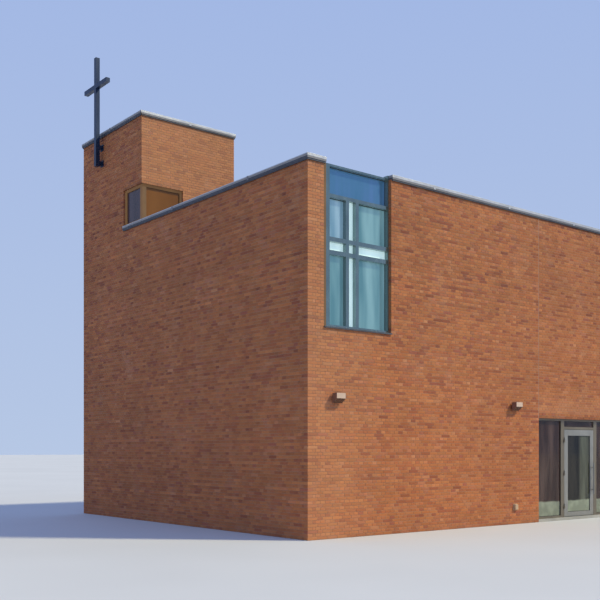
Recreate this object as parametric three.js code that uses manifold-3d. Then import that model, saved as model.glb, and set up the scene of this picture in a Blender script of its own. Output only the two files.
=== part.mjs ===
import * as THREE from 'three';
import { mergeVertices } from 'three/examples/jsm/utils/BufferGeometryUtils.js';
import Module from 'manifold-3d';

const wasm = await Module();
wasm.setup();

// Brick chapel with a light tower, a tall cross window and a glazed entrance, in millimetres.
// Plan figures are measured from the near front corner: X runs right along the entrance wall,
// Y runs back along the shaded side wall, Z is the height over the ground.

// Main block
const LENGTH = 15240;
const DEPTH = 9690;
const WALL = 405;
const WALL_TOP = 7312;
const FLOOR_TOP = 62;
const ROOF_BOTTOM = 6730;
const ROOF_TOP = 6980;
const ROOF_COVER_TOP = 7100;

// Tower in the back left corner, flush with the side wall
const TOWER_LENGTH = 2755;
const TOWER_FRONT = 6459;
const TOWER_TOP = 10000;
const TOWER_ROOF_BOTTOM = 9580;
const TOWER_ROOF_TOP = 9800;

// Metal copings on all wall tops
const COPING_THICK = 90;
const COPING_OVERHANG = 40;
const COPING_LIP = 12;
const COPING_DROP = 30;

// Tall slot window beside the corner, running up to the roof edge
const SLOT_X0 = 405;
const SLOT_X1 = 2225;
const SLOT_SILL = 4125;
const SLOT_HEAD = 7340;
const SLOT_FRAME_Y = 82;
const SLOT_FRAME_DEPTH = 122;
const SLOT_JAMB_LEFT = 217;
const SLOT_JAMB_RIGHT = 25;
const SLOT_RAIL = 65;
const SPANDREL_BOTTOM = 6760;
const SPANDREL_TOP = 7300;
const TRANSOM_BOTTOM = 6690;
const CROSS_X0 = 1133;
const CROSS_X1 = 1308;
const CROSS_Z0 = 5655;
const CROSS_Z1 = 5830;
const CROSS_BAR_WIDE = 85;
const CROSS_BAR_HIGH = 85;
const CROSS_BAR_DEPTH = 90;
const PANE_Y = 172;
const PANE_THICK = 28;

// Corner window of the tower, its sill on the coping
const CORNER_Y1 = 7398;
const CORNER_X1 = 1184;
const CORNER_HEAD = 8312;
const CORNER_SET_BACK = 50;
const CORNER_FRAME_DEPTH = 90;
const CORNER_BAR = 60;

// Glazed entrance with one leaf that opens outwards
const ENTRY_X0 = 7163;
const ENTRY_X1 = 10682;
const ENTRY_HEAD = 2500;
const ENTRY_Y = 80;
const ENTRY_DEPTH = 80;
const ENTRY_BAR = 50;
const LEAF_X0 = 8300;
const LEAF_X1 = 9545;
const LEAF_BOTTOM = 77;
const LEAF_TOP = 2240;
const LEAF_GAP = 8;
const LEAF_POST = 132;
const LEAF_STILE = 147;
const LEAF_FOOT = 110;
const LEAF_THICK = 60;
const LEAF_HEAD_BAR = 60;
const PIN_X = LEAF_X0 - 4;
const PIN_Y = ENTRY_Y - 16;
const PIN_RADIUS = 9;
const HINGE_Z = [335, 1158, 1980];
const HINGE_HALF = 60;
const HINGE_WING = 30;

// Wall lamps with an upright front and an underside that slopes back to the wall
const LAMP_X = [710, 6220];
const LAMP_TOP = 2840;
const LAMP_WIDE = 235;
const LAMP_HIGH = 195;
const LAMP_FRONT = 105;
const LAMP_REACH = 165;
const LAMP_BACK = 30;

// Cross standing off the tower's side wall
const WALL_CROSS_Y = 8575;
const WALL_CROSS_SIZE = 110;
const WALL_CROSS_GAP = 100;
const WALL_CROSS_BOTTOM = 9190;
const WALL_CROSS_TOP = 12030;
const WALL_CROSS_ARM_Z = 11280;
const WALL_CROSS_ARM = 1260;
const WALL_CROSS_BRACKETS = [9285, 9700];
const BRACKET_HALF = 82;

const brick = { color: 0xb97d55, roughness: 0.9, metalness: 0 };
const concrete = { color: 0xa8a6a0, roughness: 0.9, metalness: 0 };
const membrane = { color: 0x6b6d70, roughness: 0.85, metalness: 0 };
const zinc = { color: 0xc9c9ce, roughness: 0.45, metalness: 0.7 };
const anthracite = { color: 0x3d434c, roughness: 0.5, metalness: 0.5 };
const steel = { color: 0x33394a, roughness: 0.5, metalness: 0.6 };
const silver = { color: 0x969b9b, roughness: 0.4, metalness: 0.7 };
const clearGlass = { color: 0x7fa5b4, roughness: 0.08, metalness: 0, transparent: true, opacity: 0.4 };
const opalGlass = { color: 0xdce6ee, roughness: 0.4, metalness: 0 };
const blueGlass = { color: 0x46698f, roughness: 0.1, metalness: 0 };
const lampWhite = { color: 0xe3e0d8, roughness: 0.5, metalness: 0 };

const chapel = new THREE.Group();
chapel.name = 'chapel';

// Moves a shape from the corner's axes to the middle of the main block and adds it
function add(name, geometry, finish) {
  geometry.translate(-LENGTH / 2, -DEPTH / 2, 0);
  const mesh = new THREE.Mesh(geometry, new THREE.MeshStandardMaterial(finish));
  mesh.name = name;
  chapel.add(mesh);
}

function block(x0, x1, y0, y1, z0, z1) {
  const geometry = new THREE.BoxGeometry(x1 - x0, y1 - y0, z1 - z0);
  geometry.translate((x0 + x1) / 2, (y0 + y1) / 2, (z0 + z1) / 2);
  return geometry;
}

function rectangle(u0, u1, v0, v1) {
  return [[u0, v0], [u1, v0], [u1, v1], [u0, v1]];
}

function outline(points) {
  return new THREE.Shape(points.map(([u, v]) => new THREE.Vector2(u, v)));
}

// A plan shape raised from z0 to z1
function raised(points, z0, z1, holes = []) {
  const shape = outline(points);
  shape.holes = holes.map((hole) => outline(hole));
  const geometry = new THREE.ExtrudeGeometry(shape, { depth: z1 - z0, bevelEnabled: false });
  geometry.translate(0, 0, z0);
  return geometry;
}

// An upright plate drawn in X and Z, its front at y0
function upright(points, y0, depth) {
  const geometry = raised(points, 0, depth);
  geometry.rotateX(Math.PI / 2);
  geometry.translate(0, y0 + depth, 0);
  return geometry;
}

// A bar along X from x0, its side drawn in Y and Z
function sideways(points, x0, length) {
  const geometry = raised(points, 0, length);
  geometry.rotateX(Math.PI / 2);
  geometry.rotateZ(Math.PI / 2);
  geometry.translate(x0, 0, 0);
  return geometry;
}

function solid(geometry) {
  const bare = geometry.clone();
  bare.deleteAttribute('normal');
  bare.deleteAttribute('uv');
  const merged = mergeVertices(bare);
  return new wasm.Manifold(new wasm.Mesh({
    numProp: 3,
    vertProperties: new Float32Array(merged.attributes.position.array),
    triVerts: new Uint32Array(merged.index.array),
  }));
}

function shell(body) {
  const mesh = body.getMesh();
  const geometry = new THREE.BufferGeometry();
  geometry.setAttribute('position', new THREE.BufferAttribute(mesh.vertProperties, 3));
  geometry.setIndex(new THREE.BufferAttribute(mesh.triVerts, 1));
  return geometry;
}

function joined(shapes) {
  return shell(shapes.map(solid).reduce((whole, next) => whole.add(next)));
}

function cutBy(shape, cutters) {
  return shell(cutters.map(solid).reduce((whole, next) => whole.subtract(next), solid(shape)));
}

// An upright plate with openings right through it
function latticed(points, y0, depth, openings) {
  return cutBy(upright(points, y0, depth),
    openings.map((opening) => upright(opening, y0 - 1, depth + 2)));
}

// Floor slab inside the walls, and the flush threshold under the entrance
function addFloor() {
  add('floor_slab', block(WALL, LENGTH - WALL, WALL, DEPTH - WALL, 0, FLOOR_TOP), concrete);
  add('entrance_threshold', block(ENTRY_X0, ENTRY_X1, 0, WALL, 0, FLOOR_TOP), concrete);
}

function addMainWalls() {
  const back = DEPTH - WALL;
  const mirrorX0 = LENGTH - SLOT_X1;
  const rightX = LENGTH - WALL;
  add('left_wall', block(0, WALL, 0, TOWER_FRONT, 0, WALL_TOP), brick);
  add('right_wall', block(rightX, LENGTH, 0, DEPTH, 0, WALL_TOP), brick);
  add('front_wall_below_window', block(SLOT_X0, SLOT_X1, 0, WALL, 0, SLOT_SILL), brick);
  add('front_wall_middle', block(SLOT_X1, ENTRY_X0, 0, WALL, 0, WALL_TOP), brick);
  add('front_wall_over_entrance',
    block(ENTRY_X0, ENTRY_X1, 0, WALL, ENTRY_HEAD, WALL_TOP), brick);
  add('front_wall_right', block(ENTRY_X1, rightX, 0, WALL, 0, WALL_TOP), brick);
  add('back_wall', block(TOWER_LENGTH, mirrorX0, back, DEPTH, 0, WALL_TOP), brick);
  add('back_wall_below_window', block(mirrorX0, rightX, back, DEPTH, 0, SLOT_SILL), brick);
}

// Two tower walls stand on the ground and two on the roof slab
function addTower() {
  const back = DEPTH - WALL;
  const inner = TOWER_FRONT + WALL;
  const side = cutBy(
    block(0, WALL, TOWER_FRONT, DEPTH, 0, TOWER_TOP),
    [block(-1, WALL + 1, TOWER_FRONT - 1, CORNER_Y1, WALL_TOP, CORNER_HEAD)],
  );
  const front = cutBy(
    block(WALL, TOWER_LENGTH, TOWER_FRONT, inner, ROOF_TOP, TOWER_TOP),
    [block(WALL - 1, CORNER_X1, TOWER_FRONT - 1, inner + 1, WALL_TOP, CORNER_HEAD)],
  );
  add('tower_left_wall', side, brick);
  add('tower_front_wall', front, brick);
  add('tower_back_wall', block(WALL, TOWER_LENGTH, back, DEPTH, 0, TOWER_TOP), brick);
  add('tower_right_wall',
    block(TOWER_LENGTH - WALL, TOWER_LENGTH, inner, back, ROOF_TOP, TOWER_TOP), brick);
}

// The tower is open to the hall, so the main slab stops around it
function addRoofs() {
  const back = DEPTH - WALL;
  const rightX = LENGTH - WALL;
  const inner = TOWER_FRONT + WALL;
  add('roof_slab_front', block(WALL, rightX, WALL, inner, ROOF_BOTTOM, ROOF_TOP), concrete);
  add('roof_slab_back',
    block(TOWER_LENGTH - WALL, rightX, inner, back, ROOF_BOTTOM, ROOF_TOP), concrete);
  add('roof_covering_front',
    block(WALL, rightX, WALL, TOWER_FRONT, ROOF_TOP, ROOF_COVER_TOP), membrane);
  add('roof_covering_back',
    block(TOWER_LENGTH, rightX, TOWER_FRONT, back, ROOF_TOP, ROOF_COVER_TOP), membrane);
  add('tower_roof_slab',
    block(WALL, TOWER_LENGTH - WALL, inner, back, TOWER_ROOF_BOTTOM, TOWER_ROOF_TOP), concrete);
}

// A cap over a wall's plan, with thin lips that hang clear of the brick
function coping(name, cap, band, top) {
  const holes = cap.hole ? [cap.hole] : [];
  const lips = raised(cap.edge, top - COPING_DROP, top + COPING_THICK, holes);
  const bandHoles = band.hole ? [band.hole] : [];
  const hollow = raised(band.edge, top - COPING_DROP - 1, top, bandHoles);
  add(name, cutBy(lips, [hollow]), zinc);
}

function addCopings() {
  const o = COPING_OVERHANG;
  const g = COPING_OVERHANG - COPING_LIP;
  const inner = TOWER_FRONT + WALL;
  const back = DEPTH - WALL;
  const rightX = LENGTH - WALL;
  coping('coping_left', {
    edge: [[-o, -o], [WALL + o, -o], [WALL + o, SLOT_FRAME_Y], [WALL, SLOT_FRAME_Y],
      [WALL, WALL], [WALL + o, WALL], [WALL + o, TOWER_FRONT - o],
      [CORNER_X1, TOWER_FRONT - o], [CORNER_X1, inner], [WALL, inner], [WALL, CORNER_Y1],
      [-o, CORNER_Y1]],
  }, {
    edge: [[-g, -g], [WALL + g, -g], [WALL + g, SLOT_FRAME_Y + 1], [WALL + 1, SLOT_FRAME_Y + 1],
      [WALL + 1, WALL + 1], [WALL + g, WALL + 1],
      [WALL + g, TOWER_FRONT - g], [CORNER_X1 + 1, TOWER_FRONT - g], [CORNER_X1 + 1, inner + 1],
      [WALL, inner + 1], [WALL, CORNER_Y1 + 1], [-g, CORNER_Y1 + 1]],
  }, WALL_TOP);
  coping('coping_front',
    { edge: rectangle(SLOT_X1, rightX - o, -o, WALL + o) },
    { edge: rectangle(SLOT_X1 - 1, rightX, -g, WALL + g) }, WALL_TOP);
  coping('coping_back',
    { edge: rectangle(TOWER_LENGTH, LENGTH - SLOT_X1, back - o, DEPTH + o) },
    { edge: rectangle(TOWER_LENGTH - 1, LENGTH - SLOT_X1 + 1, back - g, DEPTH + g) }, WALL_TOP);
  coping('coping_right', {
    edge: [[rightX - o, -o], [LENGTH + o, -o], [LENGTH + o, DEPTH + o], [rightX, DEPTH + o],
      [rightX, back], [rightX - o, back]],
  }, {
    edge: [[rightX - o - 1, -g], [LENGTH + g, -g], [LENGTH + g, DEPTH + g],
      [rightX - 1, DEPTH + g], [rightX - 1, back - 1], [rightX - g, back - 1],
      [rightX - g, WALL + g], [rightX - o - 1, WALL + g]],
  }, WALL_TOP);
  coping('coping_tower', {
    edge: rectangle(-o, TOWER_LENGTH + o, TOWER_FRONT - o, DEPTH + o),
    hole: rectangle(WALL + o, TOWER_LENGTH - WALL - o, inner + o, back - o),
  }, {
    edge: rectangle(-g, TOWER_LENGTH + g, TOWER_FRONT - g, DEPTH + g),
    hole: rectangle(WALL + g, TOWER_LENGTH - WALL - g, inner + g, back - g),
  }, TOWER_TOP);
}

// The slot window's glass behind the bars: four clear panes around an opal cross
function slotPanes() {
  const x0 = SLOT_X0 + SLOT_JAMB_LEFT;
  const x1 = SLOT_X1 - SLOT_JAMB_RIGHT;
  const z0 = SLOT_SILL + SLOT_RAIL;
  const z1 = TRANSOM_BOTTOM;
  const leftX = CROSS_X0 - CROSS_BAR_WIDE / 2;
  const rightX = CROSS_X1 + CROSS_BAR_WIDE / 2;
  const lowZ = CROSS_Z0 - CROSS_BAR_HIGH / 2;
  const highZ = CROSS_Z1 + CROSS_BAR_HIGH / 2;
  return {
    window_pane_lower_left: rectangle(x0, leftX, z0, lowZ),
    window_pane_lower_right: rectangle(rightX, x1, z0, lowZ),
    window_pane_upper_left: rectangle(x0, leftX, highZ, z1),
    window_pane_upper_right: rectangle(rightX, x1, highZ, z1),
    window_opal_cross: [
      [leftX, z0], [rightX, z0], [rightX, lowZ], [x1, lowZ], [x1, highZ], [rightX, highZ],
      [rightX, z1], [leftX, z1], [leftX, highZ], [x0, highZ], [x0, lowZ], [leftX, lowZ],
    ],
  };
}

// Bars in pairs that leave a cross between them
function crossBars() {
  const x0 = SLOT_X0 + SLOT_JAMB_LEFT;
  const x1 = SLOT_X1 - SLOT_JAMB_RIGHT;
  const z0 = SLOT_SILL + SLOT_RAIL;
  const y0 = SLOT_FRAME_Y;
  const y1 = SLOT_FRAME_Y + CROSS_BAR_DEPTH;
  return [
    block(CROSS_X0 - CROSS_BAR_WIDE, CROSS_X0, y0, y1, z0, TRANSOM_BOTTOM),
    block(CROSS_X1, CROSS_X1 + CROSS_BAR_WIDE, y0, y1, z0, TRANSOM_BOTTOM),
    block(x0, x1, y0, y1, CROSS_Z0 - CROSS_BAR_HIGH, CROSS_Z0),
    block(x0, x1, y0, y1, CROSS_Z1, CROSS_Z1 + CROSS_BAR_HIGH),
  ];
}

function addSlotWindow() {
  const x0 = SLOT_X0 + SLOT_JAMB_LEFT;
  const x1 = SLOT_X1 - SLOT_JAMB_RIGHT;
  const behind = SLOT_FRAME_Y + SLOT_FRAME_DEPTH;
  const light = rectangle(x0, x1, SLOT_SILL + SLOT_RAIL, TRANSOM_BOTTOM);
  const spandrel = rectangle(x0, x1, SPANDREL_BOTTOM, SPANDREL_TOP);
  const surround = latticed(rectangle(SLOT_X0, SLOT_X1, SLOT_SILL, SLOT_HEAD),
    SLOT_FRAME_Y, SLOT_FRAME_DEPTH, [light, spandrel]);
  const jambTop = block(x1, SLOT_X1, SLOT_FRAME_Y, behind, SLOT_HEAD, WALL_TOP + COPING_THICK);
  add('window_frame', joined([surround, jambTop, ...crossBars()]), anthracite);
  for (const [name, points] of Object.entries(slotPanes())) {
    const finish = name === 'window_opal_cross' ? opalGlass : clearGlass;
    add(name, upright(points, PANE_Y, PANE_THICK), finish);
  }
  add('window_spandrel_panel', upright(spandrel, PANE_Y, PANE_THICK), blueGlass);
  add('window_roof_edge', block(SLOT_X0, SLOT_X1, behind, WALL, ROOF_BOTTOM, SLOT_HEAD), anthracite);
}

// The plainer window at the opposite corner of the back wall
function addBackWindow() {
  const x0 = LENGTH - SLOT_X1;
  const x1 = LENGTH - SLOT_X0;
  const y0 = DEPTH - SLOT_FRAME_Y - SLOT_FRAME_DEPTH;
  const glass = rectangle(x0 + SLOT_JAMB_RIGHT, x1 - SLOT_JAMB_LEFT,
    SLOT_SILL + SLOT_RAIL, TRANSOM_BOTTOM);
  add('back_window_frame', latticed(
    rectangle(x0, x1, SLOT_SILL, SLOT_HEAD), y0, SLOT_FRAME_DEPTH, [glass],
  ), anthracite);
  add('back_window_pane', upright(glass, DEPTH - PANE_Y - PANE_THICK, PANE_THICK), clearGlass);
  add('back_window_roof_edge',
    block(x0, x1, DEPTH - WALL, y0, ROOF_BOTTOM, SLOT_HEAD), anthracite);
}

// A band of the corner window in plan, between two depths behind the wall faces
function cornerBand(near, far) {
  return [
    [near, CORNER_Y1], [near, TOWER_FRONT + near], [CORNER_X1, TOWER_FRONT + near],
    [CORNER_X1, TOWER_FRONT + far], [far, TOWER_FRONT + far], [far, CORNER_Y1],
  ];
}

function addCornerWindow() {
  const near = CORNER_SET_BACK;
  const far = near + CORNER_FRAME_DEPTH;
  const z0 = WALL_TOP + COPING_THICK;
  const glassZ0 = z0 + CORNER_BAR;
  const glassZ1 = CORNER_HEAD - CORNER_BAR;
  const post = far + 20;
  const sideCut = block(near - 1, far + 1, TOWER_FRONT + post, CORNER_Y1 - CORNER_BAR,
    glassZ0, glassZ1);
  const frontCut = block(post, CORNER_X1 - CORNER_BAR, TOWER_FRONT + near - 1,
    TOWER_FRONT + far + 1, glassZ0, glassZ1);
  add('tower_window_frame',
    cutBy(raised(cornerBand(near, far), z0, CORNER_HEAD), [sideCut, frontCut]), anthracite);
  const glassNear = near + 35;
  const glassFar = glassNear + PANE_THICK;
  add('tower_window_pane_left', block(glassNear, glassFar, TOWER_FRONT + post,
    CORNER_Y1 - CORNER_BAR, glassZ0, glassZ1), clearGlass);
  add('tower_window_pane_front', block(post, CORNER_X1 - CORNER_BAR, TOWER_FRONT + glassNear,
    TOWER_FRONT + glassFar, glassZ0, glassZ1), clearGlass);
}

// One half of each lift-off hinge: the frame's half below, the leaf's half resting on it
function hingeHalves(side) {
  const parts = [];
  const near = PIN_X + side * 4;
  const far = PIN_X + side * HINGE_WING;
  for (const middle of HINGE_Z) {
    const z0 = side < 0 ? middle - HINGE_HALF : middle;
    const barrel = new THREE.CylinderGeometry(PIN_RADIUS, PIN_RADIUS, HINGE_HALF, 16);
    barrel.rotateX(Math.PI / 2);
    barrel.translate(PIN_X, PIN_Y, z0 + HINGE_HALF / 2);
    parts.push(barrel, block(Math.min(near, far), Math.max(near, far), PIN_Y - 3, ENTRY_Y + 5,
      z0, z0 + HINGE_HALF));
  }
  return parts;
}

// The fixed frame around the entrance: two side lights, a light over the door and the doorway
function addEntrance() {
  const postLeft = LEAF_X0 - LEAF_GAP;
  const postRight = LEAF_X1 + LEAF_GAP;
  const overDoor = LEAF_TOP + LEAF_GAP;
  const low = FLOOR_TOP + ENTRY_BAR;
  const high = ENTRY_HEAD - ENTRY_BAR;
  const leftLight = rectangle(ENTRY_X0 + ENTRY_BAR, postLeft - LEAF_POST, low, high);
  const rightLight = rectangle(postRight + LEAF_POST, ENTRY_X1 - ENTRY_BAR, low, high);
  const topLight = rectangle(postLeft, postRight, overDoor + LEAF_HEAD_BAR, high);
  const doorway = [[postLeft, FLOOR_TOP], [postLeft, overDoor], [postRight, overDoor],
    [postRight, FLOOR_TOP]];
  const edge = [[ENTRY_X0, FLOOR_TOP], ...doorway, [ENTRY_X1, FLOOR_TOP],
    [ENTRY_X1, ENTRY_HEAD], [ENTRY_X0, ENTRY_HEAD]];
  const frame = latticed(edge, ENTRY_Y, ENTRY_DEPTH, [leftLight, rightLight, topLight]);
  add('entrance_frame', joined([frame, ...hingeHalves(-1)]), anthracite);
  const glassY = ENTRY_Y + 30;
  add('entrance_pane_left', upright(leftLight, glassY, PANE_THICK), clearGlass);
  add('entrance_pane_right', upright(rightLight, glassY, PANE_THICK), clearGlass);
  add('entrance_pane_over_door', upright(topLight, glassY, PANE_THICK), clearGlass);
}

// The opening leaf, with its hinges in the left stile
function addDoor() {
  const glass = rectangle(LEAF_X0 + LEAF_STILE, LEAF_X1 - LEAF_STILE,
    LEAF_BOTTOM + LEAF_FOOT, LEAF_TOP - LEAF_STILE);
  const leaf = latticed(
    rectangle(LEAF_X0, LEAF_X1, LEAF_BOTTOM, LEAF_TOP), ENTRY_Y, LEAF_THICK, [glass],
  );
  add('door_leaf', joined([leaf, ...hingeHalves(1)]), silver);
  add('door_glass', upright(glass, ENTRY_Y + 16, PANE_THICK), clearGlass);
  const handleX = LEAF_X1 - LEAF_STILE / 2;
  const bar = new THREE.CylinderGeometry(16, 16, 800, 24);
  bar.rotateX(Math.PI / 2);
  bar.translate(handleX, ENTRY_Y - 60, 1000);
  const parts = [bar];
  for (const z of [720, 1280]) {
    const stay = new THREE.CylinderGeometry(10, 10, 60, 16);
    stay.translate(handleX, ENTRY_Y - 30, z);
    parts.push(stay);
  }
  add('door_handle', joined(parts), silver);
}

function addLamps() {
  const names = ['wall_lamp_left', 'wall_lamp_right'];
  const bottom = LAMP_TOP - LAMP_HIGH;
  const side = [[-LAMP_REACH, LAMP_TOP], [-LAMP_REACH, LAMP_TOP - LAMP_FRONT],
    [-LAMP_BACK - 15, bottom], [-LAMP_BACK, bottom], [-LAMP_BACK, LAMP_TOP]];
  LAMP_X.forEach((x, index) => {
    const body = sideways(side, x - LAMP_WIDE / 2, LAMP_WIDE);
    const plate = block(x - 60, x + 60, -LAMP_BACK - 10, 0, bottom + 30, LAMP_TOP - 30);
    add(names[index], joined([body, plate]), lampWhite);
  });
}

function addWallCross() {
  const half = WALL_CROSS_SIZE / 2;
  const x1 = -WALL_CROSS_GAP;
  const x0 = x1 - WALL_CROSS_SIZE;
  const parts = [block(x0, x1, WALL_CROSS_Y - half, WALL_CROSS_Y + half,
    WALL_CROSS_BOTTOM, WALL_CROSS_TOP)];
  for (const z of WALL_CROSS_BRACKETS) {
    parts.push(block(x1 - 10, -10, WALL_CROSS_Y - 30, WALL_CROSS_Y + 30, z - 55, z + 55));
    parts.push(block(-14, 0, WALL_CROSS_Y - BRACKET_HALF, WALL_CROSS_Y + BRACKET_HALF,
      z - BRACKET_HALF, z + BRACKET_HALF));
  }
  parts.push(block(x0, x1, WALL_CROSS_Y - WALL_CROSS_ARM / 2, WALL_CROSS_Y + WALL_CROSS_ARM / 2,
    WALL_CROSS_ARM_Z - half, WALL_CROSS_ARM_Z + half));
  add('wall_cross', joined(parts), steel);
}

addFloor();
addMainWalls();
addTower();
addRoofs();
addCopings();
addSlotWindow();
addBackWindow();
addCornerWindow();
addEntrance();
addDoor();
addLamps();
addWallCross();

export default chapel;
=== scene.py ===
import math

import bmesh
import bpy
import numpy as np
from mathutils import Matrix, Vector


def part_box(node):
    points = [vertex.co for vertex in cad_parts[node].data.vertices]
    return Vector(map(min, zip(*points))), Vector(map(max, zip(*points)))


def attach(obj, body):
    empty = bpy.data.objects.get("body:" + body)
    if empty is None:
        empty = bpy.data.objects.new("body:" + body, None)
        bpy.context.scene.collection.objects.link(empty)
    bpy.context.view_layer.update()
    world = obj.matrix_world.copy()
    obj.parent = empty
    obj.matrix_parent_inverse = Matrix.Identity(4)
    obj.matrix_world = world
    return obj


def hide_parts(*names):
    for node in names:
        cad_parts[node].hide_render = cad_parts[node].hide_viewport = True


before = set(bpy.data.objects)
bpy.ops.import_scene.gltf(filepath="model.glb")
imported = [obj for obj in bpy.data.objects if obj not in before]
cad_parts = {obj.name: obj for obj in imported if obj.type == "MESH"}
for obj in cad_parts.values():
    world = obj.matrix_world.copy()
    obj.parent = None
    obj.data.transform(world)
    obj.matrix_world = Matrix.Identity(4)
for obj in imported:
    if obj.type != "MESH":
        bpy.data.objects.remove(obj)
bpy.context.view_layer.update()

# A plain brick church hall with a light tower, in metres. +X runs right along the entrance wall,
# and -Y points out of it to the sunny side.

SEED = 11
rng = np.random.default_rng(SEED)


def low(node):
    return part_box(node)[0]


def high(node):
    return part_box(node)[1]


def reach(node):
    """A node's two ends along X."""
    return low(node).x, high(node).x


# Main faces and edges, taken from the fixed parts. The slot is the tall window's opening beside the
# near corner, and the notch is the opening around the tower's corner.
WEST, EAST = low("left_wall").x, high("right_wall").x
SOUTH, NORTH = low("left_wall").y, high("right_wall").y
WALL = high("left_wall").x - WEST
INNER_W, INNER_E, INNER_S, INNER_N = WEST + WALL, EAST - WALL, SOUTH + WALL, NORTH - WALL
MAIN_TOP = high("left_wall").z
TOWER_TOP = high("tower_left_wall").z
TOWER_EAST = high("tower_right_wall").x
TOWER_SOUTH = low("tower_front_wall").y
TOWER_INNER = TOWER_SOUTH + WALL
ROOF = high("roof_covering_front").z
TOWER_ROOF = high("tower_roof_slab").z
SLAB_TOP = high("roof_slab_front").z
SLOT_W, SLOT_E = reach("front_wall_below_window")
SLOT_SILL = high("front_wall_below_window").z
SLOT_DEEP = low("window_frame").y - SOUTH
BACK_W, BACK_E = reach("back_wall_below_window")
DOOR_W, DOOR_E = reach("front_wall_over_entrance")
DOOR_HEAD = low("front_wall_over_entrance").z
NOTCH_E, NOTCH_N, NOTCH_HEAD = high("tower_window_frame")
NOTCH_DEEP = low("tower_window_frame").x - WEST

# Brickwork. A brick's edges slope from its face down to the mortar, which lies in the recess.
COURSE = 0.0625
HALF_BRICK = 0.125
SHORTEST = 0.06
RECESS = 0.005
BASE_GAP = 0.003
FACE_GAP = 0.006
UNEVEN = 0.0012
HALF_JOINT = 0.0075

UP = Vector((0, 0, 1))
PLUS_X, PLUS_Y = Vector((1, 0, 0)), Vector((0, 1, 0))

# Places this near a face count as on it, and edges this near level as level
NEAR = 0.01
TINY = 1e-6


def course_at(z):
    return round(z / COURSE)


def row_z(row):
    return (row * COURSE, (row + 1) * COURSE)


def around(middle, half):
    return (middle - half, middle + half)


def placed(name, data, materials=()):
    """A new object in the scene."""
    for material in materials:
        data.materials.append(material)
    thing = bpy.data.objects.new(name, data)
    bpy.context.collection.objects.link(thing)
    return thing


# Courses are counted from the ground
MAIN_ROWS, TOWER_ROWS = course_at(MAIN_TOP), course_at(TOWER_TOP)
SILL_ROW, HEAD_ROW, NOTCH_ROW = course_at(SLOT_SILL), course_at(DOOR_HEAD), course_at(NOTCH_HEAD)
ROOF_ROW = int(ROOF / COURSE)


# Materials

class Finish:
    """A procedural material built from a few noises in the part's own axes."""

    def __init__(self, name):
        self.material = bpy.data.materials.new(name)
        self.material.use_nodes = True
        self.tree = self.material.node_tree
        self.tree.nodes.clear()
        self.shader = self.put("BsdfPrincipled")
        out = self.put("OutputMaterial")
        self.tree.links.new(self.shader.outputs[0], out.inputs[0])
        self.place = self.put("TexCoord").outputs["Object"]

    def put(self, kind, inputs=None, **settings):
        node = self.tree.nodes.new("ShaderNode" + kind)
        for key, value in settings.items():
            setattr(node, key, value)
        for key, value in (inputs or {}).items():
            self.feed(node.inputs[key], value)
        return node

    def feed(self, socket, value):
        if isinstance(value, bpy.types.NodeSocket):
            self.tree.links.new(value, socket)
        else:
            socket.default_value = value

    def set(self, **inputs):
        for key, value in inputs.items():
            self.feed(self.shader.inputs[key.replace("_", " ")], value)

    def noise(self, scale, detail, stretch=(1, 1, 1), rough=0.55):
        place = self.place
        if stretch != (1, 1, 1):
            place = self.put("Mapping", {0: place, 3: stretch}).outputs[0]
        return self.put("TexNoise", {"Vector": place, "Scale": scale, "Detail": detail,
                                     "Roughness": rough}).outputs[0]

    def spread(self, value, low_in, high_in, low_out, high_out):
        return self.put("MapRange", {0: value, 1: low_in, 2: high_in, 3: low_out,
                                     4: high_out}).outputs[0]

    def swing(self, noise, low_out, high_out):
        """A noise's usual range turned into another one."""
        return self.spread(noise, 0.3, 0.7, low_out, high_out)

    def maths(self, operation, a, b):
        return self.put("Math", {0: a, 1: b}, operation=operation).outputs[0]

    def mix(self, factor, a, b):
        return self.put("Mix", {0: factor, 6: a, 7: b}, data_type="RGBA").outputs[2]

    def between(self, noise, dark, pale, start=0.35, end=0.65):
        """A colour that follows a noise from dark to pale."""
        return self.mix(self.spread(noise, start, end, 0, 1), dark, pale)

    def dim(self, colour, value):
        """A colour multiplied by a grey value."""
        return self.put("VectorMath", {0: colour, 3: value}, operation="SCALE").outputs[0]

    def along(self, axis):
        return self.put("SeparateXYZ", {0: self.place}).outputs[axis]

    def bump(self, value, distance, strength):
        bumped = self.put("Bump", {"Height": value, "Distance": distance, "Strength": strength})
        self.set(Normal=bumped.outputs[0])


def tone(red, green, blue):
    """A linear colour from the 0-255 values of a screen."""
    linear = [c / 255 / 12.92 if c <= 10 else ((c / 255 + 0.055) / 1.055) ** 2.4
              for c in (red, green, blue)]
    return (*linear, 1)


# Brick colours, with their places on the ramp
BRICK_TONES = [(0.0, tone(146, 82, 58)), (0.2, tone(166, 97, 61)), (0.45, tone(176, 108, 64)),
               (0.62, tone(179, 115, 71)), (0.78, tone(170, 104, 73)), (0.9, tone(184, 124, 84)),
               (1.0, tone(154, 88, 68))]


def fill_ramp(node, stops):
    elements = node.color_ramp.elements
    while len(elements) < len(stops):
        elements.new(0.5)
    for element, (where, colour) in zip(elements, stops):
        element.position, element.color = where, colour


def ground_bounce_and_splash(f, colour, patch):
    """Painted light bounced off the ground: warmer and lighter brick low on the wall, darker brick high
    on it. Also splashed dirt at its foot.
    """
    height = f.along("Z")
    colour = f.mix(f.spread(height, 0.5, 5.5, 0.12, 0), colour, tone(200, 106, 48))
    colour = f.dim(colour, f.spread(height, 0.5, 7.0, 1.03, 0.92))
    foot = f.maths("MULTIPLY", f.spread(height, 0.0, 0.35, 0.22, 0), f.swing(patch, 0.4, 1))
    return f.mix(foot, colour, tone(120, 96, 80))


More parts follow.
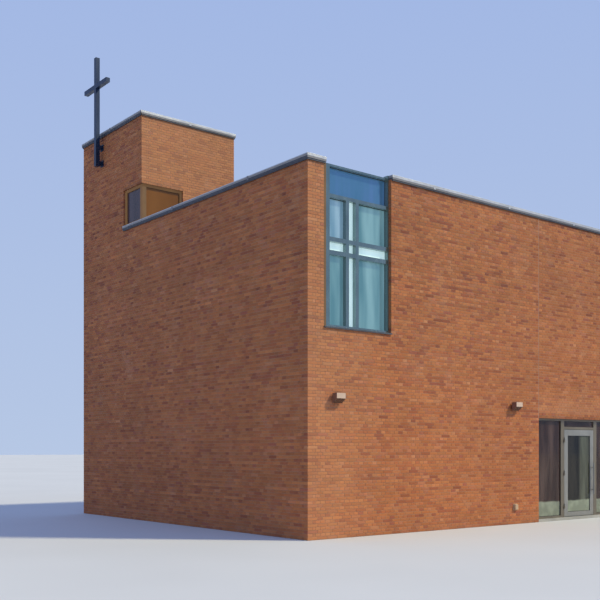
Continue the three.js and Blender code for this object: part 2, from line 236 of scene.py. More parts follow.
def clinker():
    """Bricks whose tint holds their own hue, lightness, burn and fading."""
    f = Finish("clinker")
    tint = f.put("Attribute", attribute_name="brick")
    parts = f.put("SeparateColor", {0: tint.outputs["Color"]})
    hue, light, burn = parts.outputs
    streak, patch, grain = f.noise(14, 4, (1, 1, 3.2), 0.6), f.noise(0.75, 3), f.noise(170, 4)
    ramp = f.put("ValToRGB", {0: hue})
    fill_ramp(ramp, BRICK_TONES)
    colour = f.dim(ramp.outputs[0], f.spread(light, 0, 1, 0.73, 1.23))
    smoky = f.maths("MULTIPLY", f.spread(streak, 0.42, 0.62, 0, 1), burn)
    colour = f.mix(smoky, colour, tone(98, 64, 56))
    colour = f.dim(colour, f.swing(patch, 0.9, 1.1))
    colour = f.dim(colour, f.swing(grain, 0.86, 1.14))
    salt = f.spread(f.noise(1.9, 5, (1, 1, 0.7)), 0.58, 0.75, 0, 0.16)
    bloom = f.maths("MULTIPLY", salt, f.spread(streak, 0.4, 0.6, 0.3, 1))
    colour = ground_bounce_and_splash(f, f.mix(bloom, colour, tone(214, 180, 158)), patch)
    colour = f.mix(tint.outputs["Alpha"], colour, tone(212, 158, 118))
    f.set(Base_Color=colour, Roughness=f.swing(streak, 0.72, 0.92), Specular_IOR_Level=0.3)
    f.bump(f.maths("ADD", grain, f.noise(48, 3)), 0.0012, 0.5)
    return f.material


def mortar():
    f = Finish("mortar")
    sand = f.noise(240, 4)
    colour = f.between(f.noise(1.6, 4), tone(150, 118, 98), tone(168, 138, 114))
    f.set(Base_Color=f.dim(colour, f.swing(sand, 0.8, 1.15)), Roughness=f.swing(sand, 0.85, 0.98))
    f.bump(sand, 0.001, 0.7)
    return f.material


def plaster():
    f = Finish("plaster")
    wave = f.noise(2.2, 4)
    f.set(Base_Color=f.between(wave, tone(196, 190, 180), tone(212, 208, 200), 0.3, 0.7),
          Roughness=f.swing(wave, 0.82, 0.95))
    f.bump(f.noise(90, 4), 0.0008, 0.5)
    return f.material


def membrane():
    f = Finish("roof_membrane")
    grit, pond = f.noise(320, 3), f.noise(0.7, 5)
    colour = f.between(pond, tone(116, 117, 119), tone(132, 132, 131), 0.38, 0.66)
    f.set(Base_Color=f.dim(colour, f.swing(grit, 0.8, 1.2)), Roughness=f.swing(pond, 0.75, 0.95))
    f.bump(grit, 0.0015, 0.6)
    return f.material


def concrete():
    f = Finish("concrete")
    cloud, pore = f.noise(1.3, 5), f.noise(120, 4)
    colour = f.between(cloud, tone(150, 147, 141), tone(176, 173, 166))
    f.set(Base_Color=f.dim(colour, f.swing(pore, 0.88, 1.08)), Roughness=f.swing(cloud, 0.78, 0.92))
    f.bump(pore, 0.001, 0.5)
    return f.material


def rubber():
    f = Finish("gasket_rubber")
    dust = f.noise(60, 3)
    f.set(Base_Color=f.between(dust, tone(26, 27, 29), tone(54, 54, 55), 0.4, 0.7),
          Roughness=f.swing(dust, 0.6, 0.85))
    return f.material


def pale_floor():
    f = Finish("studio_floor")
    cloud = f.noise(0.12, 3)
    f.set(Base_Color=f.between(cloud, tone(198, 199, 201), tone(204, 205, 207)),
          Roughness=f.swing(cloud, 0.85, 0.95))
    return f.material


def sheet_metal(name, dark, pale, shine, metal=0.0, glow=0.0):
    """Coated sheet with faint waves and rain streaks. Its glow is painted light, standing for light off
    the walls.
    """
    f = Finish(name)
    rain = f.noise(9, 4, (1, 1, 0.15))
    colour = f.between(f.noise(1.7, 4), tone(*dark), tone(*pale))
    f.set(Base_Color=f.dim(colour, f.swing(rain, 0.93, 1.06)), Metallic=metal,
          Roughness=f.swing(rain, shine - 0.06, shine + 0.1))
    if glow:
        f.set(Emission_Color=colour, Emission_Strength=glow)
    f.bump(f.noise(2.6, 1), 0.004, 0.25)
    return f.material


# What the entrance glass mirrors: the ground's height in it, and the middle of its pale stretch
BAND_TOP = 0.45
BAND_BLUR = 0.04
LEAF_BRIGHT = low("door_glass").x + 0.6


def mirrored_light(f, colour, drift, bright):
    """Pale streaks around a place along X."""
    along = f.along("X")
    start = f.spread(along, bright - 0.12, bright + 0.05, 0, 0.8)
    end = f.spread(along, bright + 0.1, bright + 0.3, 1, 0.45)
    streak = f.maths("MULTIPLY", f.maths("MULTIPLY", start, end), f.spread(drift, 0.3, 0.6, 0.5, 1))
    return f.mix(streak, colour, tone(112, 116, 100))


def mirrored_ground(f, colour, band):
    """The pale ground seen low in the pane."""
    edge = f.maths("ADD", f.along("Z"), f.swing(f.noise(3, 2), -0.012, 0.012))
    ground = f.between(f.noise(5, 1), tuple(0.75 * c for c in band), band, 0.38, 0.62)
    return f.mix(f.spread(edge, BAND_TOP, BAND_TOP + BAND_BLUR, 0.9, 0), colour, ground)


def glazing(name, dark, pale, cover, shine=0.04, level=0.6, mirror=0.0, glow=0.0, streaks=3.0,
            band=None, bright=None):
    """Tinted glass with upright streaks, and what it mirrors. Its glow is painted light."""
    f = Finish(name)
    drift = f.noise(streaks, 2, (1, 1, 0.12))
    colour = f.between(drift, tone(*dark), tone(*pale), 0.36, 0.64)
    if bright:
        colour = mirrored_light(f, colour, drift, bright)
    if band:
        colour = mirrored_ground(f, colour, tone(*band))
    smear = f.noise(26, 3, (1, 1, 0.4))
    f.set(Base_Color=colour, Roughness=f.swing(smear, shine, shine + 0.05), Alpha=cover,
          Metallic=mirror, Specular_IOR_Level=level)
    if glow:
        f.set(Emission_Color=colour, Emission_Strength=glow)
    f.bump(f.noise(1.1, 1), 0.004, 0.15)
    return f.material


BRICK, MORTAR, PLASTER, MEMBRANE = range(4)
WALL_FINISHES = [clinker(), mortar(), plaster(), membrane()]
CONCRETE = concrete()
RUBBER = rubber()
COPING = sheet_metal("coping_sheet", (174, 177, 184), (188, 191, 198), 0.42, 0.35)
# The coping's sides away from the sun and the lower foot of its face are darker copies of its sheet,
# painted shade
COPING_SHADE_SIDE = sheet_metal("coping_painted_shade", (135, 131, 129), (147, 143, 141), 0.42, 0.3)
COPING_FOOT_SHADE = sheet_metal("coping_foot_painted_shade", (112, 112, 118), (124, 124, 130), 0.5, 0.3)
# A dark slate sheet: the sills' own colour, and painted shade in the copings' strip and shaded foot
SLATE_AND_SHADE = sheet_metal("slate_sheet_and_painted_shade", (64, 67, 76), (76, 79, 88), 0.5, 0.3)
# The frames' glow is painted light; the bronze's strong glow lifts its parts in shade, on the tower's
# frame and the window's jamb cover
FRAME = sheet_metal("frame_coating", (106, 124, 126), (116, 134, 136), 0.2, 0.97, glow=0.15)
BRONZE = sheet_metal("bronze_coating", (41, 28, 16), (48, 34, 19), 0.75, glow=4.8)
ENTRY = sheet_metal("entrance_coating", (108, 99, 86), (122, 113, 98), 0.4, 0.3)
SILVER = sheet_metal("anodised", (141, 139, 133), (157, 155, 149), 0.34, 0.55)
STEEL = sheet_metal("cross_coating", (27, 43, 70), (35, 53, 82), 0.36, 0.4)
LAMP = sheet_metal("lamp_coating", (196, 168, 148), (208, 182, 162), 0.5)
# The lamps' cheeks are darker, painted shade
LAMP_CHEEK_SHADE = sheet_metal("lamp_cheek_painted_shade", (118, 82, 66), (130, 92, 74), 0.6)
BEIGE = sheet_metal("socket_plastic", (186, 156, 124), (198, 168, 136), 0.55)
SEALANT = sheet_metal("joint_sealant", (168, 128, 106), (180, 140, 118), 0.8)
LAMP_GLASS = glazing("lamp_glass", (72, 52, 44), (86, 66, 56), 1.0, 0.25)
# The window's panes, opal cross and spandrel glow with painted light, mostly daylight from inside
SKY_GLASS = glazing("sky_glass", (76, 116, 126), (114, 150, 156), 0.94, mirror=0.35, glow=0.55)
PALE_GLASS = glazing("pale_sky_glass", (88, 124, 144), (134, 162, 176), 0.94, mirror=0.35, glow=0.55)
OPAL = glazing("opal_glass", (178, 205, 207), (194, 219, 219), 1.0, 0.3, 0.4, glow=0.68)
SPANDREL = glazing("back_painted_glass", (64, 108, 138), (76, 112, 152), 1.0, 0.1, mirror=0.5, glow=0.35)
HALL_GLASS = glazing("hall_glass", (50, 31, 26), (88, 68, 61), 0.82, level=0.4, streaks=5,
                     band=(156, 164, 144))
LEAF_GLASS = glazing("leaf_glass", (6, 6, 6), (42, 39, 34), 0.9, level=0.3, streaks=6,
                     band=(156, 164, 144), bright=LEAF_BRIGHT)
SIDE_GLASS = glazing("tower_side_glass", (58, 46, 52), (76, 62, 68), 0.96, level=0.35)
BRONZE_GLASS = glazing("tower_front_glass", (112, 70, 26), (126, 82, 36), 0.98, level=0.3, streaks=1.2)


# Walls

class Body:
    """Vertices and faces of one wall, gathered before the mesh is made."""

    def __init__(self):
        self.points, self.faces, self.finishes, self.tints = [], [], [], []

    def add(self, points, faces, finishes, tint=(0.5, 0.5, 0.0, 0.0)):
        first = len(self.points)
        self.points += points
        self.faces += [[first + i for i in face] for face in faces]
        self.finishes += finishes
        self.tints += [tint] * len(points)

    def mesh(self, name):
        data = bpy.data.meshes.new(name)
        data.from_pydata([tuple(p) for p in self.points], [], self.faces)
        thing = placed(name, data, WALL_FINISHES)
        data.polygons.foreach_set("material_index", self.finishes)
        layer = data.color_attributes.new("brick", "FLOAT_COLOR", "POINT")
        layer.data.foreach_set("color", np.array(self.tints, dtype=np.float32).ravel())
        data.update()
        return thing


BOX_FACES = [[0, 2, 3, 1], [4, 5, 7, 6], [0, 1, 5, 4], [2, 6, 7, 3], [0, 4, 6, 2], [1, 3, 7, 5]]
SIDES = {"west": 0, "east": 1, "south": 2, "north": 3}


def box_points(x0, x1, y0, y1, z0, z1):
    return [(x, y, z) for x in (x0, x1) for y in (y0, y1) for z in (z0, z1)]


walls = {}


def core_box(body, x, y, z, inside=None, change=None):
    """A box of a wall's body. Its inner side is plaster, and membrane over a roof's level."""
    levels = list(z)
    if change and z[0] < change < z[1]:
        levels.insert(1, change)
    for bottom, top in zip(levels, levels[1:]):
        finishes = [MORTAR] * len(BOX_FACES)
        if inside:
            finishes[SIDES[inside]] = MEMBRANE if change and bottom >= change else PLASTER
        body.add(box_points(*x, *y, bottom, top), BOX_FACES, finishes)


def core(node, *boxes):
    """The body behind a wall's bricks."""
    body = walls.setdefault(node, Body())
    for box in boxes:
        core_box(body, *box)


def build_cores():
    """The main walls' bodies, from the mortar's faces to the inner faces."""
    west, east, south, north = WEST + RECESS, EAST - RECESS, SOUTH + RECESS, NORTH - RECESS
    deep_s, deep_n = SOUTH + SLOT_DEEP, NORTH - SLOT_DEEP
    facing, backing, back_facing = (south, deep_s), (deep_s, INNER_S), (deep_n, north)
    full, below, above = (0, MAIN_TOP), (0, SLOT_SILL), (SLOT_SILL, MAIN_TOP)
    core("left_wall",
         ((west, SLOT_W), facing, below),
         ((west, SLOT_W - RECESS), facing, above),
         ((west, INNER_W), (deep_s, TOWER_SOUTH), full, "east", ROOF))
    core("right_wall",
         ((INNER_E, east), (south, deep_n), full, "west", ROOF),
         ((BACK_E, east), back_facing, below),
         ((BACK_E + RECESS, east), back_facing, above))
    core("front_wall_below_window", ((SLOT_W, SLOT_E), (south, INNER_S), below, "north"))
    core("front_wall_middle",
         ((SLOT_E, DOOR_W), backing, full, "north", ROOF),
         ((SLOT_E, DOOR_W - RECESS), facing, (0, DOOR_HEAD)),
         ((SLOT_E, DOOR_W), facing, (DOOR_HEAD, SLOT_SILL)),
         ((SLOT_E + RECESS, DOOR_W), facing, above))
    core("front_wall_over_entrance",
         ((DOOR_W, DOOR_E), backing, (DOOR_HEAD, MAIN_TOP), "north", ROOF),
         ((DOOR_W, DOOR_E), facing, (DOOR_HEAD + RECESS, MAIN_TOP)))
    core("front_wall_right",
         ((DOOR_E, INNER_E), backing, full, "north", ROOF),
         ((DOOR_E + RECESS, INNER_E), facing, (0, DOOR_HEAD)),
         ((DOOR_E, INNER_E), facing, (DOOR_HEAD, MAIN_TOP)))
    core("back_wall",
         ((TOWER_EAST, BACK_W), (INNER_N, deep_n), full, "south", ROOF),
         ((TOWER_EAST, BACK_W), back_facing, below),
         ((TOWER_EAST, BACK_W - RECESS), back_facing, above))
    core("back_wall_below_window", ((BACK_W, BACK_E), (INNER_N, north), below, "south"))


def build_tower_cores():
    """The same for the tower's walls."""
    west, east, south, north = WEST + RECESS, TOWER_EAST - RECESS, TOWER_SOUTH + RECESS, NORTH - RECESS
    deep_w, deep_s, over = WEST + NOTCH_DEEP, TOWER_SOUTH + NOTCH_DEEP, NOTCH_HEAD + RECESS
    backing, beside, above = (deep_w, INNER_W), (MAIN_TOP, NOTCH_HEAD), (NOTCH_HEAD, TOWER_TOP)
    core("tower_left_wall",
         ((west, INNER_W), (TOWER_SOUTH, north), (0, MAIN_TOP), "east"),
         ((west, deep_w), (NOTCH_N + RECESS, north), (MAIN_TOP, over)),
         (backing, (NOTCH_N, north), beside, "east"),
         ((west, deep_w), (south, north), (over, TOWER_TOP)),
         (backing, (south, deep_s), (over, TOWER_TOP)),
         (backing, (deep_s, north), above, "east", TOWER_ROOF))
    core("tower_front_wall",
         ((INNER_W, east), (south, TOWER_INNER), (SLAB_TOP, MAIN_TOP), "north"),
         ((NOTCH_E + RECESS, east), (south, deep_s), (MAIN_TOP, over)),
         ((NOTCH_E, east), (deep_s, TOWER_INNER), beside, "north"),
         ((INNER_W, east), (south, deep_s), (over, TOWER_TOP)),
         ((INNER_W, east), (deep_s, TOWER_INNER), above, "north", TOWER_ROOF))
    core("tower_back_wall",
         ((INNER_W, TOWER_EAST), (INNER_N, north), (0, MAIN_TOP), "south"),
         ((INNER_W, east), (INNER_N, north), (MAIN_TOP, TOWER_TOP), "south", TOWER_ROOF))
    core("tower_right_wall",
         ((TOWER_EAST - WALL, east), (TOWER_INNER, INNER_N), (SLAB_TOP, TOWER_TOP), "west", TOWER_ROOF))


# Brick tints: how courses differ, and how much painted shade darkens the top ones under the coping and
# those over the entrance and the tower's notch
ROW_SPREAD, ROW_STEP = 0.06, 0.08
TOP_SHADE, NEXT_SHADE = 0.42, 0.2
HEAD_SHADE, OVER_HEAD_SHADE = 0.3, 0.15
HEAD_SHADE_BURN = 0.6

# How far the sun has bleached bricks, over how many courses, and where that ends along the wall
TOWER_FADING, DOOR_FADING, PIER_FADING = 0.28, 0.25, 0.19
FADED_ROWS = 10
FADED_FULL, FADED_END = 0.48, 2.08

shared_tints = {}
course_tones = {}


def new_tint():
    """A brick's hue, lightness and burn. One brick in ten is burnt darker."""
    hue = float(np.clip(rng.normal(0.45, 0.23), 0, 1))
    light = float(rng.normal(0.5, 0.13))
    burn = float(rng.uniform(0.25, 0.6)) if rng.random() < 0.1 else float(rng.uniform(0, 0.2))
    return (hue, light, burn)


def tint_at(edge, row):
    """Both faces of a brick at an outer corner share its tint."""
    if edge is None:
        return new_tint()
    return shared_tints.setdefault((edge, row), new_tint())


def over_door(place):
    return DOOR_W < place.x < DOOR_E and place.y < SOUTH + NEAR


def top_row(place):
    """The last course under the coping over this place."""
    tower = place.x < TOWER_EAST + NEAR and place.y > TOWER_SOUTH - NEAR
    return (TOWER_ROWS if tower else MAIN_ROWS) - 1


def course_tone(row, place):
    """Courses differ a little from each other, and some are darker with painted shade: the top two under
    the coping and the second over the entrance.
    """
    if row not in course_tones:
        course_tones[row] = float(rng.normal(0, ROW_SPREAD)) + (ROW_STEP if row % 2 else -ROW_STEP)
    last = top_row(place)
    darker = {last: TOP_SHADE, last - 1: NEXT_SHADE}.get(row, 0)
    if over_door(place) and row == HEAD_ROW + 1:
        darker = OVER_HEAD_SHADE
    return course_tones[row] - darker


def faded(place, along, row):
    """How far a brick is bleached: most on the tower, over the entrance and beside the corner."""
    if along != PLUS_X:
        return 0.0
    if place.y > TOWER_SOUTH - NEAR:
        return TOWER_FADING
    over_head = row - HEAD_ROW
    if over_door(place) and 1 < over_head < FADED_ROWS:
        return DOOR_FADING * (1 - over_head / FADED_ROWS)
    left = (FADED_END - (place.x - WEST)) / (FADED_END - FADED_FULL)
    return PIER_FADING * float(np.clip(left, 0, 1))


def toned(tint, shift, fade):
    return (tint[0], float(np.clip(tint[1] + shift, 0, 1)), tint[2], fade)


FRUSTUM = {"bottom": [0, 1, 5, 4], "right": [1, 2, 6, 5], "top": [2, 3, 7, 6], "left": [3, 0, 4, 7]}
CORNERS = ((0, 2), (1, 2), (1, 3), (0, 3))


def brick(node, origin, along, up, u, v, tint, mitred):
    """A brick's outer face with sloping edges down to the mortar. A mitred edge meets the
    next face's brick at the wall's outer corner."""
    out = along.cross(up)
    base, face = [], []
    for side, edge, sign in (("left", u[0], 1), ("right", u[1], -1), ("bottom", v[0], 1),
                             ("top", v[1], -1)):
        mitre = side in mitred
        base.append(edge + sign * (RECESS if mitre else BASE_GAP))
        face.append(edge + sign * (0 if mitre else FACE_GAP))
    push = 0.0 if mitred else -float(rng.uniform(0, UNEVEN))
    points = [origin + along * base[i] + up * base[j] - out * RECESS for i, j in CORNERS]
    points += [origin + along * face[i] + up * face[j] + out * push for i, j in CORNERS]
    faces = [[4, 5, 6, 7]] + [ring for side, ring in FRUSTUM.items() if side not in mitred]
    walls.setdefault(node, Body()).add(points, faces, [BRICK] * len(faces), tint)


def bond(row, total, stretchers_even):
    """Joints of one course in cross bond, from 0 to the wall's length."""
    half = round(total / (2 * HALF_BRICK))
    if (row % 2 == 0) == stretchers_even:
        plain = row % 4 < 2
        sizes = [2] * half if plain else [2, 1] + [2] * (half - 3) + [1, 2]
    else:
        sizes = [1, 0.5] + [1] * (2 * half - 3) + [0.5, 1]
    return np.concatenate([[0], np.cumsum(sizes)]) * total / (2 * half)


def cut_course(joints, start, end):
    """The course's joints between two cuts, without slivers beside them."""
    kept = [j for j in joints if start + SHORTEST < j < end - SHORTEST]
    return [start, *kept, end]


def lay(corner, along, rows, total, stretchers_even, spans_of, node_of, soffit=0.0):
    """Lays a face of the building course by course. Bricks over an opening turn under its head."""
    start, out = Vector((*corner, 0)), along.cross(UP)
    for row in rows:
        joints, z = bond(row, total, stretchers_even), row_z(row)
        for a, b, left, right, is_head in spans_of(row):
            edges = cut_course(joints, a, b)
            for i, u in enumerate(zip(edges, edges[1:])):
                shared = {"left": left if i == 0 else None,
                          "right": right if i == len(edges) - 2 else None}
                mitred = [side for side, edge in shared.items() if edge]
                tint = tint_at(shared["left"] or shared["right"], row)
                # Bricks at an opening's head, and their turn under it, are darkened and burnt as painted
                # shade
                if is_head:
                    mitred.append("bottom")
                    tint = (tint[0], tint[1] - HEAD_SHADE, HEAD_SHADE_BURN)
                middle = start + along * ((u[0] + u[1]) / 2)
                tint = toned(tint, course_tone(row, middle), faded(middle, along, row))
                node = node_of(middle)
                brick(node, start, along, UP, u, z, tint, mitred)
                if is_head:
                    inner = start - out * soffit + UP * z[0]
                    brick(node, inner, along, out, u, (0, soffit), tint, ["top"])


def jamb(node, edge, rows, corner, out, inward, depth):
    """The narrow brick returns beside an opening."""
    along = UP.cross(out)
    start, shared = Vector((*corner, 0)), "left"
    if along.dot(inward) < 0:
        start, shared = start + inward * depth, "right"
    for row in rows:
        tint = toned(tint_at(edge, row), 0, 0)
        brick(node, start, along, UP, (0, depth), row_z(row), tint, [shared])


def spans(total, ends, cuts=()):
    """The stretches of a course that its openings leave. Each has a start, an end, the outer
    corners at both, and whether it is an opening's head."""
    found, start, kind = [], 0.0, ends[0]
    for cut_start, cut_end, before, after in cuts:
        found.append((start, cut_start, kind, before, False))
        start, kind = cut_end, after
    found.append((start, total, kind, ends[1], False))
    return found


def front_spans(row):
    total, ends = EAST - WEST, ("SW", "SE")
    door = (DOOR_W - WEST, DOOR_E - WEST)
    if row < HEAD_ROW:
        return spans(total, ends, [(*door, "door_w", "door_e")])
    cuts = [(SLOT_W - WEST, SLOT_E - WEST, "slot_w", "slot_e")] if row >= SILL_ROW else []
    found = spans(total, ends, cuts + [(*around(door[0], HALF_JOINT), None, None)])
    if row == HEAD_ROW:
        a, b, left, right, _ = found.pop()
        found += [(a, door[1], left, None, True), (door[1], b, None, right, False)]
    return found


def left_spans(row):
    middle, total = NORTH - NOTCH_N, NORTH - TOWER_SOUTH
    if row < MAIN_ROWS:
        return spans(NORTH - SOUTH, ("NW", "SW"))
    if row < NOTCH_ROW:
        return spans(middle, ("NW", "notch_n"))
    if row == NOTCH_ROW:
        return [(0, middle, "NW", None, False), (middle, total, None, "TSW", True)]
    return spans(total, ("NW", "TSW"))


def back_spans(row):
    total = EAST - WEST
    if row >= MAIN_ROWS:
        return [(EAST - TOWER_EAST, total, "TNE", "NW", False)]
    cuts = [(EAST - BACK_E, EAST - BACK_W, "back_e", "back_w")] if row >= SILL_ROW else []
    return spans(total, ("NE", "NW"), cuts)


def tower_front_spans(row):
    total, notch = TOWER_EAST - WEST, NOTCH_E - WEST
    if row < MAIN_ROWS:
        return [(WALL, total, None, "TSE", False)]
    if row < NOTCH_ROW:
        return [(notch, total, "notch_e", "TSE", False)]
    if row == NOTCH_ROW:
        return [(0, notch, "TSW", None, True), (notch, total, None, "TSE", False)]
    return spans(total, ("TSW", "TSE"))


def tower_right_spans(row):
    if row < MAIN_ROWS:
        return spans(INNER_N - TOWER_SOUTH, ("TSE", None))
    return spans(NORTH - TOWER_SOUTH, ("TSE", "TNE"))


# The walls along the front and the back, each with its right-hand end
FRONT_NODES = ((SLOT_W, "left_wall"), (SLOT_E, "front_wall_below_window"), (DOOR_W, "front_wall_middle"),
               (DOOR_E, "front_wall_over_entrance"), (INNER_E, "front_wall_right"), (EAST, "right_wall"))
BACK_NODES = ((INNER_W, "tower_left_wall"), (TOWER_EAST, "tower_back_wall"),
              (BACK_W, "back_wall"), (BACK_E, "back_wall_below_window"), (EAST, "right_wall"))


def wall_among(nodes):
    return lambda place: next(node for end, node in nodes if place.x < end)


def left_wall_at(place):
    return "left_wall" if place.y < TOWER_SOUTH else "tower_left_wall"


def tower_wall_at(place):
    """The tower's end walls hold its corners, and its right wall stands between them."""
    if place.x < INNER_W:
        return "tower_left_wall"
    if place.y < TOWER_INNER:
        return "tower_front_wall"
    return "tower_back_wall" if place.y > INNER_N else "tower_right_wall"


def lay_faces():
    length, depth = EAST - WEST, NORTH - SOUTH
    main, tower, over_roof = range(MAIN_ROWS), range(TOWER_ROWS), range(ROOF_ROW, TOWER_ROWS)
    lay((WEST, SOUTH), PLUS_X, main, length, True, front_spans, wall_among(FRONT_NODES), SLOT_DEEP)
    lay((WEST, NORTH), -PLUS_Y, tower, depth, False, left_spans, left_wall_at, NOTCH_DEEP)
    lay((EAST, SOUTH), PLUS_Y, main, depth, False, lambda row: spans(depth, ("SE", "NE")),
        lambda place: "right_wall")
    lay((EAST, NORTH), -PLUS_X, tower, length, True, back_spans, wall_among(BACK_NODES))
    lay((WEST, TOWER_SOUTH), PLUS_X, over_roof, TOWER_EAST - WEST, True, tower_front_spans,
        tower_wall_at, NOTCH_DEEP)
    lay((TOWER_EAST, TOWER_SOUTH), PLUS_Y, over_roof, NORTH - TOWER_SOUTH, False,
        tower_right_spans, tower_wall_at)


def lay_jambs():
    slot, door, notch = range(SILL_ROW, MAIN_ROWS), range(HEAD_ROW), range(MAIN_ROWS, NOTCH_ROW)
    for node, edge, rows, corner, out, inward in (
            ("left_wall", "slot_w", slot, (SLOT_W, SOUTH), PLUS_X, PLUS_Y),
            ("front_wall_middle", "slot_e", slot, (SLOT_E, SOUTH), -PLUS_X, PLUS_Y),
            ("front_wall_middle", "door_w", door, (DOOR_W, SOUTH), PLUS_X, PLUS_Y),
            ("front_wall_right", "door_e", door, (DOOR_E, SOUTH), -PLUS_X, PLUS_Y),
            ("right_wall", "back_e", slot, (BACK_E, NORTH), -PLUS_X, -PLUS_Y),
            ("back_wall", "back_w", slot, (BACK_W, NORTH), PLUS_X, -PLUS_Y),
            ("tower_left_wall", "notch_n", notch, (WEST, NOTCH_N), -PLUS_Y, PLUS_X),
            ("tower_front_wall", "notch_e", notch, (NOTCH_E, TOWER_SOUTH), -PLUS_X, PLUS_Y)):
        jamb(node, edge, rows, corner, out, inward, NOTCH_DEEP if rows == notch else SLOT_DEEP)


def build_walls():
    build_cores()
    build_tower_cores()
    lay_faces()
    lay_jambs()
    for node, body in walls.items():
        thing = body.mesh(node + "_brickwork")
        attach(thing, "building")
        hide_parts(node)


# Details

class Detail:
    """A small piece made of edged blocks, rods, plates and profiles."""

    def __init__(self):
        self.bm = bmesh.new()

    def block(self, x, y, z, finish=0):
        made = [self.bm.verts.new(p) for p in box_points(*x, *y, *z)]
        for face in BOX_FACES:
            self.bm.faces.new([made[i] for i in face]).material_index = finish

    def rod(self, middle, radius, length, axis, sides=20):
        turn = Matrix.Rotation(math.pi / 2, 4, {"x": "Y", "y": "X"}[axis])
        made = bmesh.ops.create_cone(
            self.bm, cap_ends=True, segments=sides, radius1=radius, radius2=radius, depth=length,
            matrix=Matrix.Translation(middle) @ turn)
        for face in {f for v in made["verts"] for f in v.link_faces}:
            face.smooth = len(face.verts) == 4

    def ring(self, x, y, z, width):
        """Four strips around an upright opening, its glass across the thin one of x and y."""
        across_x = x[1] - x[0] > y[1] - y[0]
        u = x if across_x else y
        for a, b, c, d in ((u[0], u[1], z[0], z[0] + width), (u[0], u[1], z[1] - width, z[1]),
                           (u[0], u[0] + width, z[0] + width, z[1] - width),
                           (u[1] - width, u[1], z[0] + width, z[1] - width)):
            self.block((a, b) if across_x else x, y if across_x else (a, b), (c, d))

    def walled(self, rings, finishes, ends):
        """Two like rings of points joined by sides, with a finish for each side."""
        self.bm.faces.new(rings[0][::-1]).material_index = ends
        self.bm.faces.new(rings[1]).material_index = ends
        for i, finish in enumerate(finishes):
            j = (i + 1) % len(rings[0])
            side = self.bm.faces.new([rings[0][i], rings[0][j], rings[1][j], rings[1][i]])
            side.material_index = finish

    def slab(self, outline, z, finish, shaded=None):
        """A plan outline raised between two heights. Sides away from the sun may take another finish,
        painted shade.
        """
        rings = [[self.bm.verts.new((*p, height)) for p in outline] for height in z]
        finishes = []
        for (x0, y0), (x1, y1) in zip(outline, outline[1:] + outline[:1]):
            away = y1 < y0 - TINY or x1 < x0 - TINY
            finishes.append(shaded if away and shaded is not None else finish)
        self.walled(rings, finishes, finish)

    def profile(self, section, x, finishes, ends=0):
        """A section in Y and Z drawn out along X."""
        rings = [[self.bm.verts.new((end, *p)) for p in section] for end in x]
        self.walled(rings, finishes, ends)

    def done(self, name, materials, body="building", replaces=(), edge=0.0015):
        data = bpy.data.meshes.new(name)
        bmesh.ops.recalc_face_normals(self.bm, faces=self.bm.faces)
        self.bm.to_mesh(data)
        self.bm.free()
        thing = placed(name, data, materials)
        soften(thing, edge)
        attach(thing, body)
        if replaces:
            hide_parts(*replaces)


def soften(thing, width):
    bevel = thing.modifiers.new("edges", "BEVEL")
    bevel.width = width
    bevel.segments = 2
    bevel.limit_method = "ANGLE"
    bevel.angle_limit = math.radians(40)


# Copings: a dark strip over the wall, then a foot, an upright face and a bead, each further out. The
# strip and the foot are darker as painted shade under the coping, and sides away from the sun take
# painted shade too
OVER = WEST - low("coping_left").x
COPING_LOW = low("coping_left").z - MAIN_TOP
COPING_HIGH = high("coping_left").z - MAIN_TOP
BEAD = 0.016
FOOT_TOP = 0.038
STRIP_INSET, FOOT_INSET, FACE_INSET = 0.013, 0.004, 0.001
PALE, DARK, FOOT, SHADED = range(4)


def shrink(outline, amount):
    """Moves every side of a counter-clockwise outline inwards."""
    moved = []
    for i, p in enumerate(outline):
        before, after = Vector(outline[i - 1]), Vector(outline[(i + 1) % len(outline)])
        here = Vector(p)
        a, b = (here - before).normalized(), (after - here).normalized()
        inward = Vector((-a.y - b.y, a.x + b.x)) / (1 + a.dot(b))
        moved.append(tuple(here + inward * amount))
    return moved


def rectangle(x0, x1, y0, y1):
    return [(x0, y0), (x1, y0), (x1, y1), (x0, y1)]


def coping(name, runs, top):
    """Each run is one outline. A closed ring is given as mitred runs."""
    bead = top + COPING_HIGH - BEAD
    d = Detail()
    for outline in runs:
        # The strip and the foot are darker as painted shade, and sides away from the sun take painted
        # shade
        d.slab(shrink(outline, STRIP_INSET), (top + COPING_LOW, top), DARK)
        d.slab(shrink(outline, FOOT_INSET), (top, top + FOOT_TOP), FOOT, DARK)
        d.slab(shrink(outline, FACE_INSET), (top + FOOT_TOP, bead), PALE, SHADED)
        d.slab(outline, (bead, top + COPING_HIGH), PALE)
    d.done(name + "_sheets", [COPING, SLATE_AND_SHADE, COPING_FOOT_SHADE, COPING_SHADE_SIDE],
           replaces=[name], edge=0.002)


def over_wall(face):
    """A coping's two faces, for the wall that starts at this face."""
    return (face - OVER, face + WALL + OVER)


